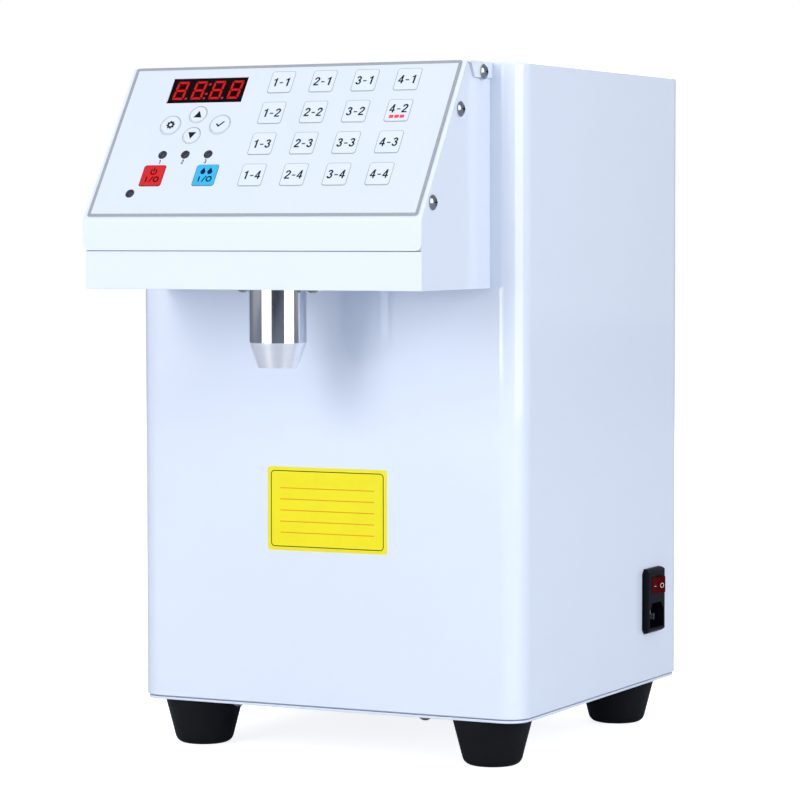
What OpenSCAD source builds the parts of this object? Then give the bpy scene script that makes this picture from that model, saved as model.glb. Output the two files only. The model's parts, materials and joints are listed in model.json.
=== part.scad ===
// Counter-top syrup dispenser with a sixteen-key dosing panel.
// Millimetres, +Z up. The origin is on the counter, under the middle of the cabinet's width
// and of the machine's depth. The front (keys, nozzle) faces -Y, the mains inlet faces +X.

/* [Cabinet] */
// Width of the cabinet, side to side
body_w = 269.5; // [268.5:0.5:271]
// Depth of the cabinet, front sheet to rear sheet
body_d = 261; // [259:1:263]
// Height of the cabinet sheet, from its lower edge to its top
body_h = 399; // [397:1:402]
// Radius of the cabinet's four vertical corners
corner_r = 14.5; // [12:0.5:16]
// Thickness of the sheet metal
sheet = 1.2; // [1:0.1:1.5]

/* [Head] */
// Width of the head that hangs over the cup
head_w = 228.4; // [227.6:0.4:229]
// How far the head stands out in front of the cabinet
head_out = 95; // [94:1:96]
// Height of the head's underside over the cabinet's lower edge
head_low = 262.5; // [261:0.5:264]
// Height of the cover's lower edge over the cabinet's lower edge
lip_low = 285.8; // [285:0.2:287]
// Height at which the key panel's slope starts, over the cabinet's lower edge
bend_h = 304.1; // [303.5:0.1:305]
// How far the top of the slope stands in front of the cabinet
slope_top_out = 32.5; // [32:0.5:33]

/* [Keys] */
// Width of one square key
key_w = 15.6; // [15:0.1:16]
// Height of one square key along the slope
key_h = 15.4; // [15:0.1:15.8]
// Distance between key columns
key_dx = 28.6; // [28:0.1:29]
// Distance between key rows
key_ds = 22.7; // [22:0.1:23]
// Gap around a key
key_gap = 0.2; // [0.15:0.05:0.3]
// How far a key goes down
key_travel = 0.4; // [0.2:0.1:0.4]

/* [Nozzle] */
// Outside radius of the steel nozzle
nozzle_r = 17.5; // [17:0.5:18]
// Radius at the end of the nozzle's cone
nozzle_tip_r = 12; // [11.5:0.5:13]
// Radius of the outlet hole
outlet_r = 5; // [4:0.5:6]

/* [Tank] */
// Outside radius of the syrup tank
tank_r = 100; // [96:1:100]
// Height of the tank's underside over the counter
tank_low = 181; // [178:1:190]

/* [Feet] */
// Height of the rubber feet
foot_h = 30; // [28:1:32]
// Radius of a foot at its top
foot_r1 = 25.1; // [24:0.1:26]
// Radius of a foot above its rounded lower edge
foot_r2 = 18.9; // [18:0.1:20]

/* [Hidden] */
$fn = 64;

white = [0.90, 0.93, 0.97];
steel = [0.74, 0.75, 0.77];
black = [0.10, 0.10, 0.12];

plate_t = 1.6;                          // base plate
tray_t = 0.9;                           // raised middle of the base plate
z_sh = foot_h + plate_t + tray_t;       // lower edge of the cabinet sheet
z_top = z_sh + body_h;
y_f = -(body_d - head_out) / 2;         // front sheet of the cabinet
y_r = y_f + body_d;
y_c = (y_f + y_r) / 2;
y_h = y_f - head_out;                   // front of the cover's lip
z_hb = z_sh + head_low;
z_lip = z_sh + lip_low;
z_b = z_sh + bend_h;
y_t = y_f - slope_top_out;
floor_z = z_sh;                         // floor inside, on top of the base plate
flange_w = 14;

// the slope: s runs up it from the bend, n stands out of it
sl_y = y_t - y_h;
sl_z = z_top - z_b;
sl_a = atan2(sl_z, sl_y);
n_sl = [-sin(sl_a), cos(sl_a)];

// panel layout, x across and s up the slope
cover_x0 = -116;
cover_x1 = 114.4;
over_c = [-1, 57.9];
over_wh = [224.8, 110.4];
win_c = [-58, 95.9];
win_wh = [52, 17.6];
led_c = [[-74.4, 47.7], [-58.4, 47.7], [-42.4, 47.7], [-88.5, 19.4]];
function key_c(c, r) = [-7.2 + (c - 1) * key_dx, 100.3 - (r - 1) * key_ds];
up_c = [-58.5, 77.5];
down_c = [-58.5, 62];
set_c = [-75.8, 69.8];
save_c = [-40.9, 69.8];
power_c = [-76.6, 32.4];
flow_c = [-39.5, 32.4];
small_r = 5.45;
large_r = 6.3;
over_t = 0.4;
board_n = -10.4;                        // front face of the control board

// nozzle and valve
nz_y = y_f - 59.4;
nz_cone = z_hb - 32.4;
nz_end = nz_cone - 15.3;

// tank
tank_y = y_c;

// pump
pump_z = 68;
gear_c = 18;                            // distance between the gears
teeth = 12;
mod_g = gear_c / teeth;
drive_z = pump_z - gear_c / 2;
driven_z = pump_z + gear_c / 2;
port_y = -17;
hose_ro = 6;
hose_ri = 4;

// mains inlet
in_x = body_w / 2;
in_t = 4;
in_y = y_f + 208.5;
in_z = z_sh + 52.7;
rk_z = in_z + 10.2;
rk_y = in_y + 0.6;
rk_x = in_x - 0.75;                     // rocker pivot
rk_r = 10.1;
rk_h = 6.78;
rk_tilt = 13.1;
soc_z = in_z - 9.8;

feet = [for (sx = [-1, 1], y = [y_f + 28, y_f + 226]) [sx * 102.7, y]];
base_scr = [for (sx = [-1, 1], y = [y_f + 7.5, y_r - 7.5]) [sx * 66.5, y]];
rear_scr = [for (sx = [-1, 1], z = [58, 232, 406]) [sx * 111, z]];
noz_scr = [-24, 24];

// ---------- helpers ----------

// rounded rectangle about its middle
module rr2(w, h, r) {
    square([w - 2 * r, h], center = true);
    square([w, h - 2 * r], center = true);
    for (sx = [-1, 1], sy = [-1, 1])
        translate([sx * (w / 2 - r), sy * (h / 2 - r)]) circle(r);
}

// slot with round ends about its middle
module slot2(l, w) {
    square([l - w, w], center = true);
    for (s = [-1, 1]) translate([s * (l - w) / 2, 0]) circle(w / 2);
}

// local X across, local Y up the slope, local Z out of it
module on_panel(p, n = 0) {
    translate([0, y_h, z_b]) rotate([sl_a, 0, 0]) translate([p[0], p[1], n]) children();
}

// a profile drawn in (y, z), extruded along x from x0 to x1
module along_x(x0, x1) {
    translate([x0, 0, 0]) rotate([90, 0, 90]) linear_extrude(x1 - x0) children();
}

// domed cross-head screw: head above z = 0, shank below
module pan_screw(rs, rh, hh, len) {
    dome = hh - 0.7;
    big = (rh * rh + dome * dome) / (2 * dome);
    difference() {
        union() {
            intersection() {
                cylinder(r = rh, h = hh);
                translate([0, 0, hh - big]) sphere(big, $fn = 96);
            }
            translate([0, 0, -len]) cylinder(r = rs, h = len + 0.1);
        }
        for (a = [0, 90]) rotate([0, 0, a])
            translate([-rh * 0.48, -0.45, hh - 1.3]) cube([rh * 0.96, 0.9, 2]);
    }
}

// points of an arc about c
function arc(c, r, a0, a1, n) =
    [for (i = [0:n]) let (a = a0 + (a1 - a0) * i / n) c + r * [cos(a), sin(a)]];
// centre of a bend of outer radius r at the corner v between faces with normals n1, n2
function bend_c(v, n1, n2, r) = v - r * (n1 + n2) / (1 + n1 * n2);

// ---------- cabinet ----------

module body_shell() {
    color(white) difference() {
        translate([0, y_c, z_sh]) linear_extrude(body_h) rr2(body_w, body_d, corner_r);
        translate([0, y_c, z_sh + sheet]) linear_extrude(body_h - 2 * sheet)
            rr2(body_w - 2 * sheet, body_d - 2 * sheet, corner_r - sheet);
        translate([0, y_c, z_sh - 1]) linear_extrude(sheet + 2)
            rr2(body_w - 2 * flange_w, body_d - 2 * flange_w, 6);
        // hole that the tank hangs in
        translate([0, tank_y, z_top - sheet - 1]) cylinder(r = tank_r + 0.5, h = sheet + 2, $fn = 128);
        // rear opening
        translate([0, y_r + 2, z_sh + 200]) rotate([90, 0, 0]) linear_extrude(4 + sheet)
            rr2(206, 330, 6);
        // way into the head
        translate([0, y_f + sheet + 1, z_b + 20]) rotate([90, 0, 0]) linear_extrude(sheet + 2)
            rr2(196, 92, 6);
        // cut-out for the mains inlet
        translate([in_x - sheet - 1, in_y - 13.7, in_z - 19.2]) cube([sheet + 2, 27.4, 38.4]);
        for (p = rear_scr) translate([p[0], y_r + 1, p[1]]) rotate([90, 0, 0]) cylinder(r = 2, h = sheet + 2);
        for (p = base_scr) translate([p[0], p[1], z_sh - 1]) cylinder(r = 2, h = sheet + 2);
    }
}

module rear_cover() {
    color(white) difference() {
        translate([0, y_r + sheet, z_sh + 199.5]) rotate([90, 0, 0]) linear_extrude(sheet)
            rr2(234, 364, 4);
        for (p = rear_scr) translate([p[0], y_r + sheet + 1, p[1]]) rotate([90, 0, 0])
            cylinder(r = 2, h = sheet + 2);
        for (sx = [-1, 1], i = [0:7])
            translate([sx * 48, y_r + sheet + 1, z_sh + 36 + 11 * i]) rotate([90, 0, 0])
                linear_extrude(sheet + 2) slot2(64, 4.4);
        for (sx = [-1, 1], i = [0:4])
            translate([sx * 48, y_r + sheet + 1, z_sh + 310 + 11 * i]) rotate([90, 0, 0])
                linear_extrude(sheet + 2) slot2(64, 4.4);
    }
}

module base_plate() {
    color(white) difference() {
        union() {
            translate([0, y_c, foot_h]) linear_extrude(plate_t)
                rr2(body_w - 2, body_d - 2, corner_r - 1);
            translate([0, y_c, foot_h + plate_t - 0.1]) linear_extrude(tray_t + 0.1)
                rr2(body_w - 8, body_d - 8, corner_r - 4);
        }
        for (p = base_scr) translate([p[0], p[1], foot_h - 1]) cylinder(r = 2, h = 6);
        for (p = feet) translate([p[0], p[1], foot_h - 1]) cylinder(r = 2.6, h = 6);
        for (sx = [-1, 1], i = [0:5])
            translate([sx * 36, y_c - 10 + 12 * i, foot_h - 1]) linear_extrude(6) slot2(46, 4.4);
    }
}

// the same M4 x 8 screw holds the base plate, the rear cover and the nozzle's flange
module case_screws() {
    color(steel) {
        for (p = base_scr) translate([p[0], p[1], foot_h]) rotate([180, 0, 0]) pan_screw(1.95, 3.8, 2.5, 8);
        for (p = rear_scr) translate([p[0], y_r + sheet, p[1]]) rotate([-90, 0, 0]) pan_screw(1.95, 3.8, 2.5, 8);
        for (x = noz_scr) translate([x, nz_y, z_hb]) rotate([180, 0, 0]) pan_screw(1.95, 3.8, 2.5, 8);
    }
}

// ---------- head ----------

box_y = y_h + 0.6;                      // front of the lower box
joggle_y = y_h + sheet + 0.2;           // front of the box behind the lip
cheek_gap = sheet + 0.2;
function under_slope(z, t) = y_h + (z - z_b) * sl_y / sl_z + t / sin(sl_a);

module head_box() {
    z1 = z_b + (joggle_y - y_h - cheek_gap / sin(sl_a)) * sl_z / sl_y;
    zt = z_top - cheek_gap;
    color(white) difference() {
        along_x(-head_w / 2, head_w / 2) polygon([[y_f, z_hb], [box_y, z_hb], [box_y, z_lip - 0.4],
            [joggle_y, z_lip - 0.4], [joggle_y, z1], [under_slope(zt, cheek_gap), zt], [y_f, zt]]);
        along_x(-head_w / 2 + sheet, head_w / 2 - sheet) polygon([[y_f + 1, z_hb + sheet],
            [box_y + sheet, z_hb + sheet], [box_y + sheet, z_lip - 2],
            [joggle_y + sheet, z_lip - 2], [joggle_y + sheet, z_b + 20], [y_t - 20, z_top + 20],
            [y_f + 1, z_top + 20]]);
        // front wall ends under the cover's bend
        along_x(-head_w / 2 + sheet, head_w / 2 - sheet)
            polygon([[y_h - 1, z_b - 5], [y_t, z_b - 5], [y_t, z_top + 5], [y_h - 1, z_top + 5]]);
        translate([0, nz_y, z_hb - 1]) cylinder(r = nozzle_r + 0.3, h = sheet + 2);
        for (x = noz_scr) translate([x, nz_y, z_hb - 1]) cylinder(r = 2, h = sheet + 2);
        for (p = cheek_scr) translate([-head_w / 2 - 1, p[0], p[1]]) rotate([0, 90, 0])
            cylinder(r = 2.55, h = head_w + 2);
    }
}

cheek_scr = [[y_f - 13, z_top - 6.2], [y_f - 41.9, z_top - 29.4], [y_f - 79.6, z_top - 84.9]];

module key_hole(gap) {
    for (c = [1:4], r = [1:4]) translate(key_c(c, r)) rr2(key_w + 2 * gap, key_h + 2 * gap, 1.6 + gap);
    for (p = [power_c, flow_c]) translate(p) rr2(14.6 + 2 * gap, 14.9 + 2 * gap, 1.2 + gap);
    for (p = [up_c, down_c]) translate(p) circle(small_r + gap);
    for (p = [set_c, save_c]) translate(p) circle(large_r + gap);
    for (p = led_c) translate(p) circle(2.6);
    translate(win_c) square(win_wh, center = true);
}

module panel_cover() {
    r1 = 1.6;
    r2 = 4;
    nt = [0, 1];
    nf = [-1, 0];
    ct = bend_c([y_t, z_top], nt, n_sl, r1);
    cb = bend_c([y_h, z_b], n_sl, nf, r2);
    a_sl = atan2(n_sl[1], n_sl[0]);
    color(white) difference() {
        union() {
            along_x(cover_x0, cover_x1) polygon(concat(
                [[y_f, z_top]], arc(ct, r1, 90, a_sl, 6), arc(cb, r2, a_sl, 180, 8),
                [[y_h, z_lip], [y_h + sheet, z_lip]],
                arc(cb, r2 - sheet, 180, a_sl, 8), arc(ct, r1 - sheet, a_sl, 90, 6),
                [[y_f, z_top - sheet]]));
            // flanges inside the cheeks
            for (x = [-head_w / 2 + sheet + 0.05, head_w / 2 - 2 * sheet - 0.05])
                on_panel([x, 6], -16) cube([sheet, 96, 15.2]);
            // tabs folded down outside the cheeks
            for (s = [0, 1]) mirror([s, 0, 0]) {
                along_x(head_w / 2 + 0.05, head_w / 2 + 1.65) polygon([[y_f - 0.1, z_top],
                    [y_f - 31.5, z_top], [y_f - 24.5, z_top - 9.9], [y_f - 0.1, z_top - 9.7]]);
                translate([head_w / 2 - 2, y_f - 31.5, z_top - sheet]) cube([3.6, 31.4, sheet]);
            }
            // studs that carry the control board
            for (x = [-100, 97], s = [12, 56, 100])
                on_panel([x, s], board_n) cylinder(r = 2.5, h = -board_n - 0.8);
        }
        // rounded lower corners of the lip
        for (e = [[cover_x0, 1], [cover_x1, -1]])
            translate([e[0], y_h - 1, z_lip]) rotate([-90, 0, 0]) linear_extrude(sheet + 2)
                difference() {
                    translate([e[1] * 1.9, -1.9]) square([4.2, 4.2], center = true);
                    translate([e[1] * 4, -4]) circle(4);
                }
        on_panel([0, 0], -3) linear_extrude(5) key_hole(key_gap);
        for (p = cheek_scr) translate([-head_w / 2 - 4, p[0], p[1]]) rotate([0, 90, 0])
            cylinder(r = 2.55, h = head_w + 8);
    }
}

module panel_screws() {
    color(steel) for (s = [0, 1]) mirror([s, 0, 0]) {
        translate([head_w / 2 + 1.65, cheek_scr[0][0], cheek_scr[0][1]]) rotate([0, 90, 0]) pan_screw(2.5, 4.6, 2.7, 8);
        for (i = [1, 2]) translate([head_w / 2, cheek_scr[i][0], cheek_scr[i][1]]) rotate([0, 90, 0])
            pan_screw(2.5, 4.6, 2.7, 8);
    }
}

module control_overlay() {
    color([0.93, 0.96, 0.99]) on_panel([0, 0]) linear_extrude(over_t) difference() {
        translate(over_c) rr2(over_wh[0], over_wh[1], 1.5);
        key_hole(key_gap);
    }
}

module display_window() {
    color([0.12, 0.02, 0.03]) on_panel(win_c, -sheet) linear_extrude(sheet + 0.2)
        square([win_wh[0] - 0.3, win_wh[1] - 0.3], center = true);
}

// four-digit module that stands on the board behind the window
module led_display() {
    color([0.2, 0.2, 0.22]) on_panel(win_c, board_n) linear_extrude(-board_n - sheet - 0.1)
        square([50.4, 19], center = true);
}

module indicator_leds() {
    color([0.25, 0.25, 0.28]) for (p = led_c) on_panel(p, board_n) {
        cylinder(r = 2.4, h = -board_n - 0.4);
        translate([0, 0, -board_n - 0.4]) intersection() {
            cylinder(r = 2.4, h = 1);
            translate([0, 0, -3.6]) sphere(4.3);
        }
        cylinder(r = 2.9, h = 1.5);
    }
}

module tact(p) {
    on_panel(p, board_n - 0.1) {
        translate([-3, -3, 0]) cube([6, 6, 3.7]);
        cylinder(r = 1.7, h = -board_n - 1 - key_travel);
    }
}

module control_board() {
    color([0.15, 0.35, 0.22]) difference() {
        union() {
            on_panel([-1, 57], board_n - 1.6) linear_extrude(1.6) rr2(208, 98, 2);
            for (c = [1:4], r = [1:4]) tact(key_c(c, r));
            for (p = [up_c, down_c, set_c, save_c, power_c, flow_c]) tact(p);
            // controller, relay, buzzer and cable headers on the back
            on_panel([20, 70], board_n - 4) translate([-7, -7, 0]) cube([14, 14, 2.6]);
            on_panel([60, 74], board_n - 16.6) translate([-9, -7, 0]) cube([18, 14, 15.1]);
            on_panel([-20, 30], board_n - 11) cylinder(r = 6, h = 9.5);
            for (x = [-70, -40]) on_panel([x, 24], board_n - 9) translate([-9, -3, 0]) cube([18, 6, 7.5]);
        }
        for (x = [-100, 97], s = [12, 56, 100])
            on_panel([x, s], board_n - 3) cylinder(r = 1.5, h = 5);
    }
}

// a key pad: its top is 0.15 proud of the film and its foot rests over its switch
module square_key(p, w, h, r, c) {
    color(c) on_panel(p, -1) linear_extrude(1 + over_t + 0.15) rr2(w, h, r);
}
module round_key(p, r) {
    color([0.95, 0.96, 0.98]) on_panel(p, -1) cylinder(r = r, h = 1 + over_t + 0.15);
}
module dose_key(c, r) {
    square_key(key_c(c, r), key_w, key_h, 1.6, [0.95, 0.96, 0.98]);
}

// ---------- nozzle ----------

module nozzle_sleeve() {
    color(steel) translate([0, nz_y, 0]) difference() {
        union() {
            translate([0, 0, nz_cone]) cylinder(r = nozzle_r, h = z_hb - 0.4 - nz_cone, $fn = 96);
            translate([0, 0, z_hb - 1]) cylinder(r = nozzle_r - 0.3, h = sheet + 3, $fn = 96);
            translate([0, 0, z_hb + sheet]) cylinder(r = 30, h = 2);
        }
        translate([0, 0, nz_cone - 1]) cylinder(r = nozzle_r - 1.6, h = 60, $fn = 96);
        for (x = noz_scr) translate([x, 0, z_hb]) cylinder(r = 2, h = 6);
    }
}

module nozzle_tip() {
    color([0.8, 0.81, 0.83]) translate([0, nz_y, 0]) difference() {
        union() {
            translate([0, 0, nz_end]) cylinder(r1 = nozzle_tip_r, r2 = nozzle_r, h = nz_cone - nz_end, $fn = 96);
            translate([0, 0, nz_cone - 0.1]) cylinder(r = nozzle_r - 1.65, h = 9.1, $fn = 96);
        }
        translate([0, 0, nz_end - 1]) cylinder(r = outlet_r, h = 12);
        translate([0, 0, nz_end + 8.7]) cylinder(r = 9, h = 20);
    }
}

// inner fitting: valve seat below, hose barb above
module valve_body() {
    z0 = nz_cone + 9;
    color(steel) translate([0, nz_y, 0]) difference() {
        union() {
            translate([0, 0, z0]) cylinder(r = nozzle_r - 1.65, h = 26, $fn = 96);
            translate([0, 0, z0 + 26]) cylinder(r = hose_ri, h = 18);
        }
        translate([0, 0, z0 - 1]) cylinder(r = 9, h = 6);
        translate([0, 0, z0]) cylinder(r = 2.6, h = 60);
    }
}

// poppet below the seat: syrup pressure pushes it down, the spring closes it
module valve_poppet() {
    z0 = nz_cone + 14;
    color([0.85, 0.82, 0.72]) translate([0, nz_y, 0]) {
        translate([0, 0, z0 - 3.1]) cylinder(r = 6.5, h = 3);
        translate([0, 0, z0 - 0.2]) cylinder(r1 = 2.3, r2 = 1.2, h = 3);
        translate([0, 0, z0 - 7]) cylinder(r = 3, h = 4);
    }
}

spring_z0 = nz_end + 8.8;
spring_z1 = nz_cone + 14 - 3.2;
spring_turns = 5;
spring_steps = 16;
spring_wire = 0.5;
spring_rad = 5.2;

// coil swept with an eight-sided wire
module valve_spring() {
    n = spring_turns * spring_steps;
    h0 = spring_z0 + spring_wire;
    h1 = spring_z1 - spring_wire;
    pts = [for (i = [0:n], k = [0:7]) let (a = 360 * i / spring_steps, b = 45 * k)
        [(spring_rad + spring_wire * cos(b)) * cos(a),
         nz_y + (spring_rad + spring_wire * cos(b)) * sin(a),
         h0 + (h1 - h0) * i / n + spring_wire * sin(b)]];
    faces = concat(
        [[for (k = [0:7]) k]],
        [for (i = [0:n - 1], k = [0:7]) [8 * i + k, 8 * (i + 1) + k, 8 * (i + 1) + (k + 1) % 8, 8 * i + (k + 1) % 8]],
        [[for (k = [7:-1:0]) 8 * n + k]]);
    color(steel) polyhedron(points = pts, faces = faces);
}

// ---------- tank and lid ----------

module tank() {
    color(steel) translate([0, tank_y, 0]) difference() {
        union() {
            translate([0, 0, tank_low]) cylinder(r = tank_r, h = z_top + 1 - tank_low, $fn = 128);
            translate([0, 0, z_top]) cylinder(r = tank_r + 8, h = 1, $fn = 128);
        }
        translate([0, 0, tank_low + sheet]) cylinder(r = tank_r - sheet, h = z_top, $fn = 128);
        translate([0, 0, tank_low - 1]) cylinder(r = 8.1, h = 4);
    }
}

module tank_outlet() {
    color([0.78, 0.68, 0.42]) translate([0, tank_y, 0]) difference() {
        union() {
            translate([0, 0, tank_low + sheet]) cylinder(r = 13, h = 2);
            translate([0, 0, tank_low - 10]) cylinder(r = 8, h = 12);
            translate([0, 0, tank_low - 8]) cylinder(r = 14, h = 8, $fn = 6);
            translate([0, 0, tank_low - 28]) cylinder(r = hose_ri, h = 20);
        }
        translate([0, 0, tank_low - 30]) cylinder(r = 2.6, h = 40);
    }
}

module tank_lid() {
    z = z_top + 1;
    color(steel) translate([0, tank_y, z]) rotate_extrude($fn = 128) polygon([[0, -7], [78.5, -7],
        [82.5, 1], [106, 1], [106, 0], [97.5, 0], [97.5, -6.5], [96.5, -6.5], [96.5, 0], [83.3, 0],
        [79.3, -8], [0, -8]]);
}

module lid_knob() {
    color(black) translate([0, tank_y, z_top - 6]) rotate_extrude($fn = 64) polygon(concat(
        [[0, 0], [9, 0], [8, 3.4], [14.5, 5.2]], arc([15, 7.2], 1.9, -75, 0, 4),
        arc([14.4, 10], 2.5, 0, 80, 5), [[0, 13]]));
}

// heating band clamped round the tank
module heater_band() {
    color([0.75, 0.35, 0.2]) translate([0, tank_y, 200]) difference() {
        union() {
            cylinder(r = tank_r + 1.9, h = 42, $fn = 128);
            for (s = [-1, 1]) translate([s * 5 - 1, tank_r, 0]) cube([2, 13, 42]);
        }
        translate([0, 0, -1]) cylinder(r = tank_r + 0.05, h = 44, $fn = 128);
        translate([-4, tank_r - 4, -1]) cube([8, 20, 44]);
    }
}

// ---------- pump ----------

gear_ro = 10.2;
gear_rr = 7.25;
gear_rb = gear_c / 2 * cos(20);
function inv_a(a) = tan(a) - a * PI / 180;
// half the angle of a tooth at radius r, thinned for backlash
function tooth_a(r) = (1.0 / (gear_c / 2) + inv_a(20) - inv_a(acos(min(1, gear_rb / r)))) * 180 / PI;

module gear2(turn) {
    rs = [gear_rr, gear_rb, 8.8, 9.2, 9.6, gear_ro];
    polygon([for (i = [0:teeth - 1], k = [0:11]) let (r = k < 6 ? rs[k] : rs[11 - k],
        a = turn + 360 * i / teeth + (k < 6 ? -1 : 1) * tooth_a(max(r, gear_rb)))
        r * [cos(a), sin(a)]]);
}

// gear axes run along Y
module at_gear(z, y) { translate([0, y, z]) rotate([90, 0, 0]) children(); }

module pump_housing() {
    color([0.7, 0.72, 0.74]) difference() {
        union() {
            translate([-22, -26, pump_z - 26]) cube([44, 26, 52]);
            for (s = [-1, 1]) translate([s * 21, port_y, pump_z]) rotate([0, s * 90, 0])
                cylinder(r = hose_ri, h = 21);
        }
        for (z = [drive_z, driven_z]) at_gear(z, -8) cylinder(r = gear_ro + 0.3, h = 20);
        translate([-3, -27, drive_z]) cube([6, 19, gear_c]);
        at_gear(drive_z, 1) cylinder(r = 3.06, h = 12);
        at_gear(driven_z, -2) cylinder(r = 3.06, h = 8);
        for (s = [-1, 1]) translate([s * 2, port_y, pump_z]) rotate([0, s * 90, 0]) cylinder(r = 2.6, h = 50);
    }
}

module pump_cover() {
    color([0.7, 0.72, 0.74]) difference() {
        translate([-22, -33, pump_z - 26]) cube([44, 7, 52]);
        for (z = [drive_z, driven_z]) at_gear(z, -25) cylinder(r = 3.06, h = 5);
    }
}

module drive_gear() {
    color([0.85, 0.85, 0.8]) difference() {
        at_gear(drive_z, -8.2) linear_extrude(17.6) gear2(90);
        at_gear(drive_z, -8) cylinder(r = 3.02, h = 20);
    }
}

module driven_gear() {
    color([0.85, 0.85, 0.8]) union() {
        at_gear(driven_z, -8.2) linear_extrude(17.6) gear2(90 + 180 / teeth);
        at_gear(driven_z, -2.5) cylinder(r = 3, h = 27);
    }
}

module motor_shaft() {
    color(steel) at_gear(drive_z, 58) cylinder(r = 3, h = 87.5);
}

module motor_bracket() {
    color(steel) difference() {
        union() {
            translate([-30, 0, floor_z]) cube([60, 3, 66]);
            translate([-30, 0, floor_z]) cube([60, 50, 2.5]);
        }
        at_gear(drive_z, 5) cylinder(r = 9, h = 8);
        at_gear(driven_z, 5) cylinder(r = 3.5, h = 8);
        for (sx = [-1, 1]) translate([sx * 24, 40, floor_z - 1]) cylinder(r = 2.2, h = 5);
    }
}

module pump_motor() {
    color([0.3, 0.3, 0.33]) difference() {
        union() {
            at_gear(drive_z, 75) cylinder(r = 21, h = 72);
            at_gear(drive_z, 4) cylinder(r = 8.5, h = 4);
            for (sx = [-1, 1]) translate([sx * 12 - 2.5, 74, drive_z - 0.4]) cube([5, 9, 0.8]);
        }
        at_gear(drive_z, 62) cylinder(r = 3.06, h = 70);
    }
}

// ---------- hoses ----------

// Catmull-Rom points through p, k steps between neighbours
function cr(a, b, c, d, t) = 0.5 * (2 * b + (c - a) * t + (2 * a - 5 * b + 4 * c - d) * t * t
    + (3 * b - a - 3 * c + d) * t * t * t);
function smooth(p, k) = let (n = len(p)) concat([for (i = [0:n - 2], j = [0:k - 1])
    cr(p[max(0, i - 1)], p[i], p[i + 1], p[min(n - 1, i + 2)], j / k)], [p[n - 1]]);
function unit(v) = v / norm(v);
function tangent(q, i) = unit(q[min(len(q) - 1, i + 1)] - q[max(0, i - 1)]);
// a direction square to the route that is carried along it without twist
function carry(q, i, v) = i >= len(q) ? [] :
    let (t = tangent(q, i), w = unit(v - (v * t) * t)) concat([w], carry(q, i + 1, w));

// hollow tube with twelve sides along the points q
module hose(q, v0) {
    n = len(q);
    m = 12;
    nv = carry(q, 0, v0);
    ring = function (i, r) let (t = tangent(q, i), a = nv[i], b = cross(t, a))
        [for (k = [0:m - 1]) q[i] + r * (cos(360 * k / m) * a + sin(360 * k / m) * b)];
    ri = (hose_ri + 0.05) / cos(180 / m);
    pts = concat([for (i = [0:n - 1]) each ring(i, hose_ro)], [for (i = [0:n - 1]) each ring(i, ri)]);
    o = n * m;
    faces = concat(
        [for (i = [0:n - 2], k = [0:m - 1]) [m * i + k, m * i + (k + 1) % m, m * (i + 1) + (k + 1) % m, m * (i + 1) + k]],
        [for (i = [0:n - 2], k = [0:m - 1]) [o + m * i + k, o + m * (i + 1) + k, o + m * (i + 1) + (k + 1) % m, o + m * i + (k + 1) % m]],
        [for (k = [0:m - 1]) [k, o + k, o + (k + 1) % m, (k + 1) % m]],
        [for (k = [0:m - 1]) let (e = m * (n - 1)) [e + k, e + (k + 1) % m, o + e + (k + 1) % m, o + e + k]]);
    polyhedron(points = pts, faces = faces);
}

suction_route = [[0, 47, 170.9], [0, 47, 156], [0, 47, 142], [8, 42, 124], [30, 24, 114], [58, 2, 108],
    [78, -14, 92], [70, -17, 74], [56, -17, 68], [42, -17, 68], [24, -17, 68]];
delivery_route = [[-24, -17, 68], [-36, -17, 68], [-46, -17, 68], [-60, -20, 71], [-72, -32, 84], [-76, -50, 108],
    [-72, -62, 144], [-68, -66, 190], [-66, -66, 240], [-64, -66, 284], [-56, -74, 318],
    [-38, -94, 340], [-16, -124, 347], [-3, -139, 338], [0, -142.4, 324], [0, -142.4, 312], [0, -142.4, 299]];

module suction_hose() {
    q = [for (p = suction_route) [p[0], p[1] + (p[1] == 47 ? tank_y - 47 : 0), p[2]]];
    color([0.85, 0.88, 0.9]) hose(smooth(q, 3), [1, 0, 0]);
}
module delivery_hose() {
    color([0.85, 0.88, 0.9]) hose(smooth(delivery_route, 3), [0, 0, 1]);
}

// ---------- electrics ----------

module power_supply() {
    color([0.75, 0.76, 0.78]) difference() {
        union() {
            translate([-118, 38, floor_z]) cube([82, 98, 36]);
            translate([-112, 28, floor_z]) cube([70, 11, 14]);
        }
        for (i = [0:6]) translate([-110 + 11 * i, 58, floor_z + 33]) cube([4, 60, 5]);
    }
}

module inlet_outline(w, h, c) {
    polygon([[-w / 2 + c, -h / 2], [w / 2 - c, -h / 2], [w / 2, -h / 2 + c], [w / 2, h / 2 - c],
        [w / 2 - c, h / 2], [-w / 2 + c, h / 2], [-w / 2, h / 2 - c], [-w / 2, -h / 2 + c]]);
}

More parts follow.
